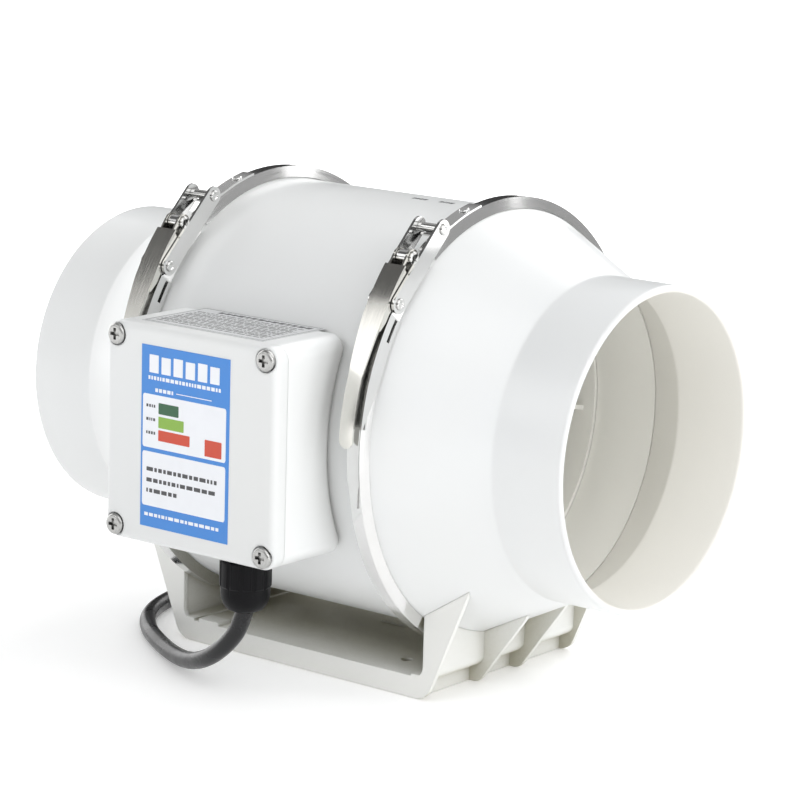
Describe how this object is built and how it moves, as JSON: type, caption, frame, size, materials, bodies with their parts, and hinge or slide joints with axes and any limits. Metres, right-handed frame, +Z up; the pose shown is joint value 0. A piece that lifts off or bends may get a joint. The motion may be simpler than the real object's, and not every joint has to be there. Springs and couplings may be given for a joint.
{
  "type": "inline duct fan",
  "caption": "Inline mixed-flow duct fan: white plastic housing with two round spigots, steel band clamps, terminal box, cord and mounting bracket.",
  "frame": {"origin": "centre of the mounting bracket's base, on the surface it stands on, under the middle of the housing", "axes": "+X along the fan's axis towards the outlet, +Z up, -Y towards the terminal box"},
  "size_m": [0.3082, 0.3142, 0.2208],
  "materials": {
    "housing_plastic": "satin",
    "duct_plastic": "satin",
    "bracket_plastic": "satin",
    "box_plastic": "satin",
    "stainless": "polished",
    "screw_steel": "satin",
    "black_plastic": "satin",
    "cord_rubber": "gloss",
    "seal_rubber": "matt",
    "label_blue": "gloss",
    "label_silver": "satin",
    "impeller_plastic": "satin",
    "motor_steel": "satin",
    "lamination": "matt",
    "copper": "enamelled",
    "terminal_nylon": "matt",
    "capacitor_case": "gloss",
    "brass": "satin"
  },
  "bodies": {
    "housing": {"box_screws": "screw_steel", "bracket_screws": "screw_steel", "capacitor": "capacitor_case", "centre_body": "housing_plastic", "cord_coil": "cord_rubber", "cord_inner_end": "cord_rubber", "cord_tail": "cord_rubber", "cord_tie": "black_plastic", "flange_seals": "seal_rubber", "front_label": "label_blue", "gland_body": "black_plastic", "gland_locknut": "black_plastic", "gland_nut": "black_plastic", "gland_seal": "seal_rubber", "guide_vanes": "duct_plastic", "impeller_shroud": "duct_plastic", "inlet_clamp_band": "stainless", "inlet_cone": "housing_plastic", "inlet_hook_strap": "stainless", "inlet_latch_base": "stainless", "intake_bellmouth": "duct_plastic", "lever_rivets": "stainless", "lid_gasket": "seal_rubber", "lid_screws": "screw_steel", "motor_bearings": "screw_steel", "motor_casing": "motor_steel", "motor_end_cap": "motor_steel", "motor_leads": "cord_rubber", "motor_mount": "duct_plastic", "mounting_bracket": "bracket_plastic", "outlet_clamp_band": "stainless", "outlet_cone": "housing_plastic", "outlet_hook_strap": "stainless", "outlet_latch_base": "stainless", "outlet_liner": "duct_plastic", "plug_pins": "brass", "power_cord": "cord_rubber", "power_plug": "black_plastic", "rating_label": "label_silver", "ring_screws": "screw_steel", "stator_core": "lamination", "stator_shroud": "duct_plastic", "stator_windings": "copper", "strap_rivets": "stainless", "tail_cone": "duct_plastic", "terminal_block": "terminal_nylon", "terminal_box": "box_plastic", "terminal_lid": "box_plastic"},
    "impeller": {"motor_rotor": "lamination", "motor_shaft": "screw_steel", "impeller_hub": "impeller_plastic", "impeller_blades": "impeller_plastic", "impeller_nut": "screw_steel"},
    "inlet_lever": {"inlet_lever": "stainless"},
    "inlet_link": {"inlet_links": "stainless", "inlet_link_pins": "stainless"},
    "outlet_lever": {"outlet_lever": "stainless"},
    "outlet_link": {"outlet_links": "stainless", "outlet_link_pins": "stainless"}
  },
  "joints": [
    {"name": "impeller_spin", "type": "hinge", "parent": "housing", "child": "impeller", "pos_m": [0, 0, 0.118], "axis": [1, 0, 0], "continuous": true},
    {"name": "inlet_lever_swing", "type": "hinge", "parent": "housing", "child": "inlet_lever", "pos_m": [-0.0664, -0.07069, 0.20136], "axis": [-1, 0, 0], "range_deg": [0, 110]},
    {"name": "inlet_link_swing", "type": "hinge", "parent": "inlet_lever", "child": "inlet_link", "pos_m": [-0.0664, -0.08286, 0.18297], "axis": [-1, 0, 0], "range_deg": [-111, 1]},
    {"name": "outlet_lever_swing", "type": "hinge", "parent": "housing", "child": "outlet_lever", "pos_m": [0.0664, -0.07069, 0.20136], "axis": [-1, 0, 0], "range_deg": [0, 110]},
    {"name": "outlet_link_swing", "type": "hinge", "parent": "outlet_lever", "child": "outlet_link", "pos_m": [0.0664, -0.08286, 0.18297], "axis": [-1, 0, 0], "range_deg": [-111, 1]}
  ],
  "couplings": [
    {"joint": "inlet_link_swing", "follows": "inlet_lever_swing", "ratio": -1},
    {"joint": "outlet_link_swing", "follows": "outlet_lever_swing", "ratio": -1}
  ]
}
